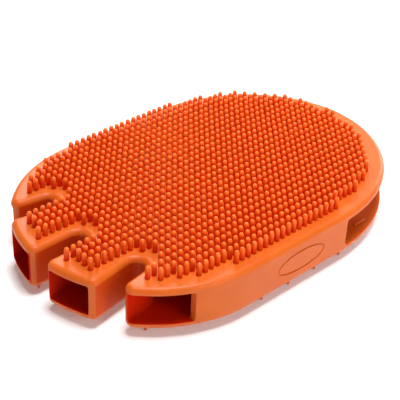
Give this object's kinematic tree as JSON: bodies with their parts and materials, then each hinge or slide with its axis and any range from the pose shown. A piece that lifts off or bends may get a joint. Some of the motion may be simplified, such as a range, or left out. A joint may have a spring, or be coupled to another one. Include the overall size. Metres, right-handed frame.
{
  "type": "grooming mitt",
  "caption": "Two-sided rubber pet grooming mitt: hollow palm open at the wrist, open finger stalls that flex, dense round pins on one face and sparse tapered pins on the other.",
  "frame": {"origin": "centre of the bounding box's bottom, at the tips of the back's pins", "axes": "+X from the fingertips to the wrist, +Z out of the dense-pin face, -Y the wearer's left with the dense pins up"},
  "size_m": [0.22, 0.144, 0.0355],
  "materials": {
    "body": "satin soft moulded rubber, slightly translucent",
    "pins": "satin soft moulded rubber, slightly translucent"
  },
  "bodies": {
    "palm": {"palm_front_plate": "body", "palm_back_plate": "body", "palm_pin_field": "pins", "left_side_wall": "body", "right_side_wall": "body", "left_slot_web": "body", "middle_slot_web": "body", "right_slot_web": "body", "left_wrist_rib": "body", "right_wrist_rib": "body"},
    "left_outer_finger": {"left_outer_stall": "body", "left_outer_flex_root": "body"},
    "left_inner_finger": {"left_inner_stall": "body", "left_inner_pin_field": "pins", "left_inner_flex_root": "body"},
    "right_inner_finger": {"right_inner_stall": "body", "right_inner_pin_field": "pins", "right_inner_flex_root": "body"},
    "right_outer_finger": {"right_outer_stall": "body", "right_outer_flex_root": "body"}
  },
  "joints": [
    {"name": "left_outer_flex", "type": "hinge", "parent": "palm", "child": "left_outer_finger", "pos_m": [-0.08203, -0.04547, 0.0165], "axis": [-0.2588, 0.9659, 0], "range_deg": [-25, 25], "stiffness_Nm_per_rad": 0.25, "deforming": ["left_outer_flex_root"]},
    {"name": "left_inner_flex", "type": "hinge", "parent": "palm", "child": "left_inner_finger", "pos_m": [-0.09081, -0.01816, 0.0165], "axis": [-0.0785, 0.9969, 0], "range_deg": [-25, 25], "stiffness_Nm_per_rad": 0.25, "deforming": ["left_inner_flex_root"]},
    {"name": "right_inner_flex", "type": "hinge", "parent": "palm", "child": "right_inner_finger", "pos_m": [-0.09081, 0.01816, 0.0165], "axis": [0.0785, 0.9969, 0], "range_deg": [-25, 25], "stiffness_Nm_per_rad": 0.25, "deforming": ["right_inner_flex_root"]},
    {"name": "right_outer_flex", "type": "hinge", "parent": "palm", "child": "right_outer_finger", "pos_m": [-0.08203, 0.04547, 0.0165], "axis": [0.2588, 0.9659, 0], "range_deg": [-25, 25], "stiffness_Nm_per_rad": 0.25, "deforming": ["right_outer_flex_root"]}
  ]
}
